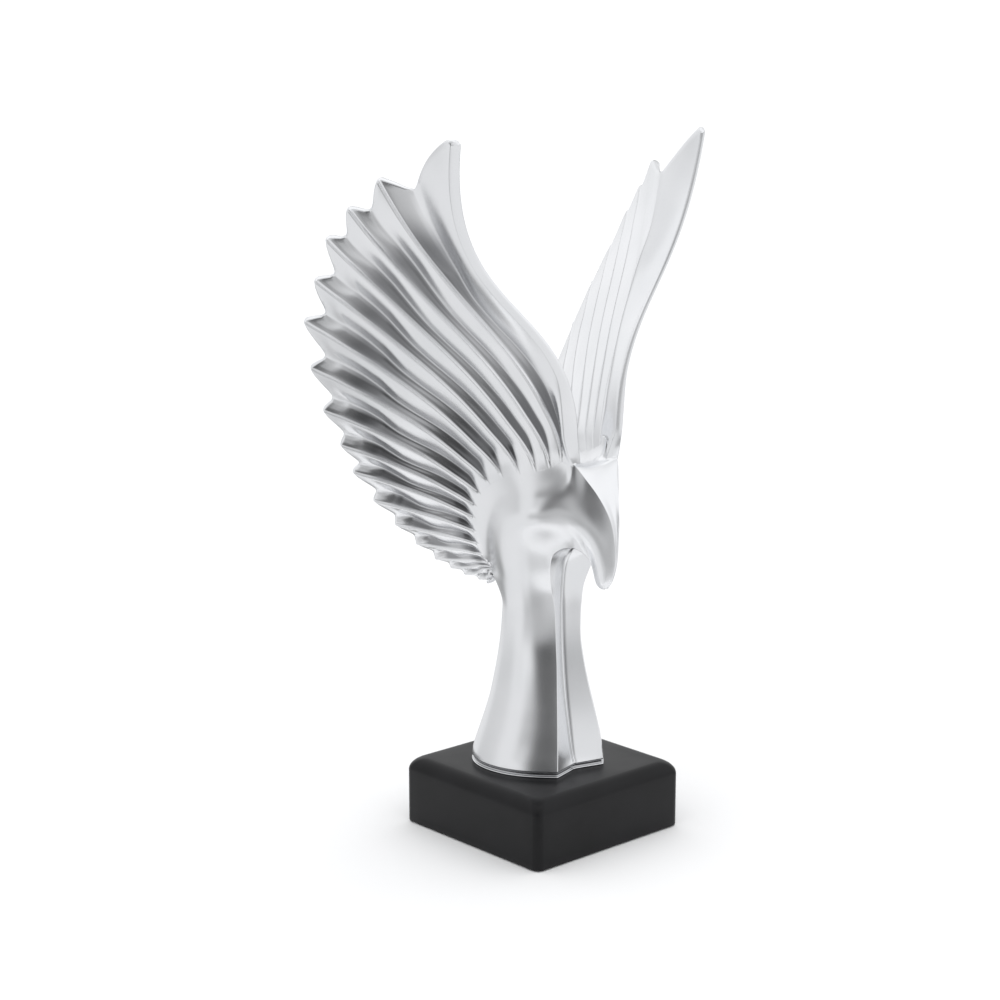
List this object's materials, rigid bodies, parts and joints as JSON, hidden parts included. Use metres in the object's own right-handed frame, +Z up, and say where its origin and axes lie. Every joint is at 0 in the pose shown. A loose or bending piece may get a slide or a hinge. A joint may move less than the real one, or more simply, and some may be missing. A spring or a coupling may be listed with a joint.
{
  "type": "figure trophy",
  "caption": "Display trophy: a silver-finished cast eagle with raised fanned wings on a square block base.",
  "frame": {"origin": "centre of the underside, on the surface the trophy stands on", "axes": "+Z up; the eagle faces -Y; +X is the eagle's left wing"},
  "size_m": [0.2108, 0.1301, 0.3524],
  "materials": {
    "base_block": "satin black lacquer",
    "figure_silver": "satin silver lacquer over cast resin",
    "pin_steel": "ground",
    "insert_brass": "machined",
    "screw_steel": "zinc plated",
    "base_pad": "black felt"
  },
  "bodies": {
    "root": {"base_block": "base_block", "figure_body": "figure_silver", "left_wing": "figure_silver", "right_wing": "figure_silver", "left_wing_pins": "pin_steel", "right_wing_pins": "pin_steel", "foot_insert": "insert_brass", "fixing_screw": "screw_steel", "fixing_washer": "screw_steel", "locating_pins": "pin_steel", "base_pad": "base_pad"}
  },
  "joints": []
}
